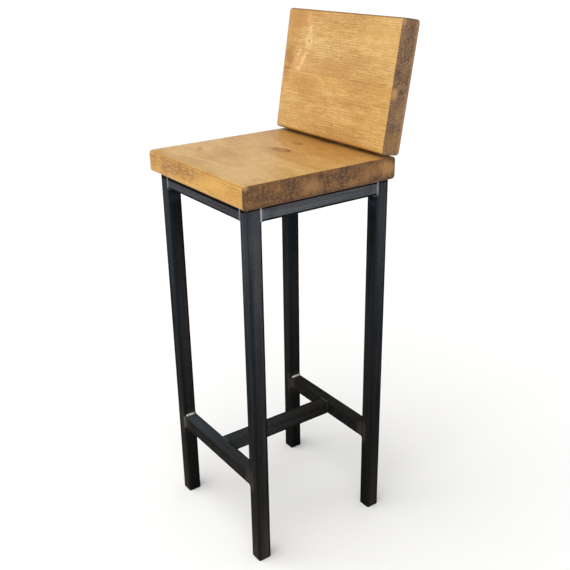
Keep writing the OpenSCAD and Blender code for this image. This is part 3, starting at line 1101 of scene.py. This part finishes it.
def add_ground_weld(mesh, middle, along, across, out, long, seed, finish=BLENDED):
    """A weld ground level with the tubes: a shallow bright band over the groove that it fills."""
    random.seed(seed)
    phase = random.uniform(0, 10)
    steps = 20
    rings = []
    for step in range(steps + 1):
        share = step / steps
        core = middle + along * (share - 0.5) * long
        wave = noise.noise(Vector((phase, share * 3.2, 0)))
        half = GROUND_WIDE / 2 * (1 + 0.16 * wave)
        ring = []
        for place in (-1, -0.82, -0.5, 0, 0.5, 0.82, 1):
            height = GROUND_PROUD * (1 - place ** 4) * (1 + 0.5 * wave) - GROUND_SUNK
            ring.append(core + across * place * half + out * height)
        ring.append(core + across * 0.5 * half - out * GROOVE_DEEP)
        ring.append(core - across * 0.5 * half - out * GROOVE_DEEP)
        rings.append(ring)
    add_tube_of_rings(mesh, rings, finish)


def finish_welds(name, mesh, finishes, node):
    bmesh.ops.recalc_face_normals(mesh, faces=mesh.faces)
    welds = finished_piece(name, mesh, finishes, smooth=True)
    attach(welds, "root")
    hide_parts(node)


def legs():
    """Each leg's middle, with the way that points from it to the stool's outside."""
    for x, side in ((leg_left, -1), (leg_right, 1)):
        for y, way in ((leg_front, -1), (leg_rear, 1)):
            yield Vector((x, y, 0)), side, way


def make_top_frame_welds(finishes):
    mesh = bmesh.new()
    for seed, (leg, side, way) in enumerate(legs()):
        middle = leg + Z * top_middle
        across_face = middle + X * -side * TUBE_EDGE + Y * way * TUBE / 2
        along_face = middle + X * side * TUBE / 2 + Y * -way * TUBE_EDGE
        add_ground_weld(mesh, across_face, Z, X, Y * way, TUBE, seed * 10, GROUND)
        add_ground_weld(mesh, along_face, Z, Y, X * side, TUBE, seed * 10 + 1, GROUND)
        inner = leg + X * -side * TUBE / 2 + Y * -way * TUBE / 2 + Z * top_middle
        add_bead(mesh, inner, Z, X * -side, Y * -way, TUBE - 1 * MM, seed * 10 + 2)
        below = leg + Z * (frame_top - TUBE)
        add_bead(mesh, below + X * -side * TUBE / 2, Y, X * -side, -Z, TUBE_FLAT, seed * 10 + 3)
        add_bead(mesh, below + Y * -way * TUBE / 2, X, Y * -way, -Z, TUBE_FLAT, seed * 10 + 4)
    finish_welds("top_frame_weld_runs", mesh, finishes, "top_frame_welds")


def make_lower_rail_welds(finishes):
    mesh = bmesh.new()
    for seed, (leg, side, way) in enumerate(legs()):
        middle = leg + Z * low_middle + X * -side * TUBE_EDGE
        front = SOOTY if (side, way) == (-1, -1) else BLENDED
        add_ground_weld(mesh, middle + Y * way * TUBE / 2, Z, X, Y * way, TUBE, 100 + seed * 10, front)
        add_ground_weld(mesh, middle - Y * way * TUBE / 2, Z, X, Y * -way, TUBE, 101 + seed * 10)
        face = leg + X * -side * TUBE / 2
        above = BRIGHT if side == -1 else SOOTY
        add_bead(mesh, face + Z * footrest_top, Y, X * -side, Z, TUBE_FLAT, 102 + seed * 10, above)
        add_bead(mesh, face + Z * footrest_bottom, Y, X * -side, -Z, TUBE_FLAT, 103 + seed * 10)
    finish_welds("lower_rail_weld_runs", mesh, finishes, "lower_rail_welds")


def make_stretcher_welds(finishes):
    mesh = bmesh.new()
    for seed, (y, way) in enumerate(((leg_front, -1), (leg_rear, 1))):
        for up in (-1, 1):
            spot = Vector((stretcher_middle, y - way * TUBE_EDGE, low_middle + up * TUBE / 2))
            add_ground_weld(mesh, spot, X, Y, Z * up, TUBE_FLAT, 200 + seed * 10 + up)
        for side in (-1, 1):
            spot = Vector((stretcher_middle + side * TUBE / 2, y - way * TUBE / 2, low_middle))
            add_bead(mesh, spot, Z, X * side, Y * -way, TUBE_FLAT, 205 + seed * 10 + side, BLENDED)
    finish_welds("stretcher_weld_runs", mesh, finishes, "stretcher_welds")


def make_bracket_welds(finishes):
    mesh = bmesh.new()
    rail_back = leg_rear + TUBE / 2
    for seed, node in enumerate(("bracket_packer_left", "bracket_packer_right")):
        low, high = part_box(node)
        middle = (low.x + high.x) / 2
        for side in (-1, 1):
            first = Vector((middle + side * PACKER_WIDE / 2, rail_back, top_middle))
            add_bead(mesh, first, Z, X * side, Y, PACKER_TALL, 300 + seed * 10 + side)
            second = Vector((middle + side * BAR_WIDE / 2, rail_back + BAR_THICK, top_middle))
            add_bead(mesh, second, Z, X * side, Y, PACKER_TALL, 305 + seed * 10 + side)
    finish_welds("bracket_weld_runs", mesh, finishes, "bracket_welds")


# ---------------------------------------------------------------- steel, screws and feet

def paint(node, finish):
    for slot in nodes[node].material_slots:
        slot.material = finish


def soften(node, radius):
    """Breaks the sharp edges of a flat bar, as the mill leaves them."""
    weld = nodes[node].modifiers.new("joined", "WELD")
    weld.merge_threshold = SAME_POINT_STEEL
    bevel = nodes[node].modifiers.new("broken_edges", "BEVEL")
    bevel.width = radius
    bevel.segments = 3
    bevel.limit_method = "ANGLE"
    bevel.angle_limit = math.radians(40)
    bevel.harden_normals = True


def finish_frame():
    sides = (leg_left, leg_right)
    stretcher = (stretcher_middle, stretcher_middle)
    top = [(0, TOP_RAIL_LIT_TONE), (1, TOP_RAIL_LIT_TONE)]
    low = [(0, LOW_RAIL_SHADED_TONE), (1, LOW_RAIL_SHADED_TONE)]
    upright = mill_scale("steel_upright", 2, 1.0, UPRIGHT_PAINTED_LIGHT, 9 * MM, 0.80, sides, rear_shade=0.45)
    top_across = mill_scale("steel_top_across", 0, 4.0, top, 4 * MM, 0.90, sides)
    top_along = mill_scale("steel_top_along", 1, 8.0, top, 4 * MM, 0.90, sides)
    low_across = mill_scale("steel_low_across", 0, 6.0, low, 5 * MM, 0.15, sides, joined=1.0)
    low_along = mill_scale("steel_low_along", 1, 9.0, low, 5 * MM, 0.10, stretcher, lit_side=1.0)
    for end in ("front", "rear"):
        paint(f"leg_{end}_left", upright)
        paint(f"leg_{end}_right", upright)
        paint(f"top_rail_{end}", top_across)
    paint("footrest_rail", low_across)
    paint("rear_lower_rail", low_across)
    paint("centre_stretcher", low_along)
    flat = flat_bar_steel(2.0)
    for side in ("left", "right"):
        paint(f"top_rail_{side}", top_along)
        paint(f"bracket_packer_{side}", flat)
        paint(f"back_bracket_{side}", flat)
        soften(f"bracket_packer_{side}", 0.7 * MM)


def finish_fittings():
    plastic = moulded_black()
    zinc = zinc_plate()
    for end in ("front", "rear"):
        paint(f"foot_plug_{end}_left", plastic)
        paint(f"foot_plug_{end}_right", plastic)
    paint("seat_screws", zinc)
    paint("back_screws", zinc)


# ---------------------------------------------------------------- studio

# The camera's turn from the stool's front, its rise above level and its roll
CAMERA_TURN = math.radians(54.985)
CAMERA_RISE = math.radians(22.838)
CAMERA_ROLL = math.radians(-0.944)
CAMERA_AWAY = 1.43602
CAMERA_AIM = Vector((0.035053, middle_y, 0.469024))
CAMERA_LENS = 51.325
SENSOR = 36
FLOOR_HALF = 60.0
SUN_STRENGTH = 2.42
SUN_WIDE = math.radians(85)
SUN_TINT = (1.0, 0.99, 0.975)
SUN_WAY = Vector((-0.05, 0.70, -1))


def make_camera():
    back = Vector((
        math.sin(CAMERA_TURN) * math.cos(CAMERA_RISE),
        -math.cos(CAMERA_TURN) * math.cos(CAMERA_RISE),
        math.sin(CAMERA_RISE),
    ))
    right = (-back).cross(Z).normalized()
    up = right.cross(-back)
    level = right * math.cos(CAMERA_ROLL) + up * math.sin(CAMERA_ROLL)
    upright = up * math.cos(CAMERA_ROLL) - right * math.sin(CAMERA_ROLL)
    data = bpy.data.cameras.new("camera")
    data.lens = CAMERA_LENS
    data.sensor_width = SENSOR
    camera = bpy.data.objects.new("camera", data)
    bpy.context.scene.collection.objects.link(camera)
    camera.matrix_world = axes(level, upright, back, CAMERA_AIM + back * CAMERA_AWAY)
    bpy.context.scene.camera = camera


def make_floor():
    mesh = bmesh.new()
    bmesh.ops.create_grid(mesh, x_segments=4, y_segments=4, size=FLOOR_HALF)
    m = new_finish("pale_floor")
    tone = m.cloud(m.place(), (2, 2, 2), 0.1, 3)
    colour = m.mix((0.93, 0.93, 0.93), (0.96, 0.96, 0.96), tone)
    finish = m.surface({"Base Color": colour, "Roughness": 0.75, "Specular IOR Level": 0.2})
    floor = finished_piece("floor", mesh, [finish], smooth=False)


def make_sky_light():
    """One very wide soft light from above and in front."""
    data = bpy.data.lights.new("overhead_silk", "SUN")
    data.energy = SUN_STRENGTH
    data.angle = SUN_WIDE
    data.color = SUN_TINT
    lamp = bpy.data.objects.new("overhead_silk", data)
    bpy.context.scene.collection.objects.link(lamp)
    lamp.rotation_mode = "QUATERNION"
    lamp.rotation_quaternion = SUN_WAY.to_track_quat("-Z", "Y")


def make_world():
    """White at the horizon, where it meets the floor, and dimmer overhead."""
    world = bpy.data.worlds.new("studio")
    shade = Finish(world)
    up = shade.split(shade.node("ShaderNodeTexCoord", {}, {}, "Generated"))[2]
    strength = 1.05 - abs(up).rise(0.02, 0.55) * 0.60
    sky = shade.node("ShaderNodeBackground", {}, {"Color": (1, 1, 1), "Strength": strength})
    shade.node("ShaderNodeOutputWorld", {}, {"Surface": sky})
    bpy.context.scene.world = world


def make_studio():
    make_camera()
    make_floor()
    make_world()
    make_sky_light()
    bpy.context.scene.view_settings.view_transform = "Standard"


make_studio()
make_seat()
make_backrest()
weld_finishes = [
    ground_weld_metal(),
    blended_weld_metal(),
    weld_bead_metal("weld_bead_sooty", (0.050, 0.047, 0.040), (0.120, 0.110, 0.090), 0.8),
    weld_bead_metal("weld_bead_bright", (0.45, 0.46, 0.44), (0.85, 0.86, 0.82), 0.45),
]
make_top_frame_welds(weld_finishes)
make_lower_rail_welds(weld_finishes)
make_stretcher_welds(weld_finishes)
make_bracket_welds(weld_finishes)
finish_frame()
finish_fittings()
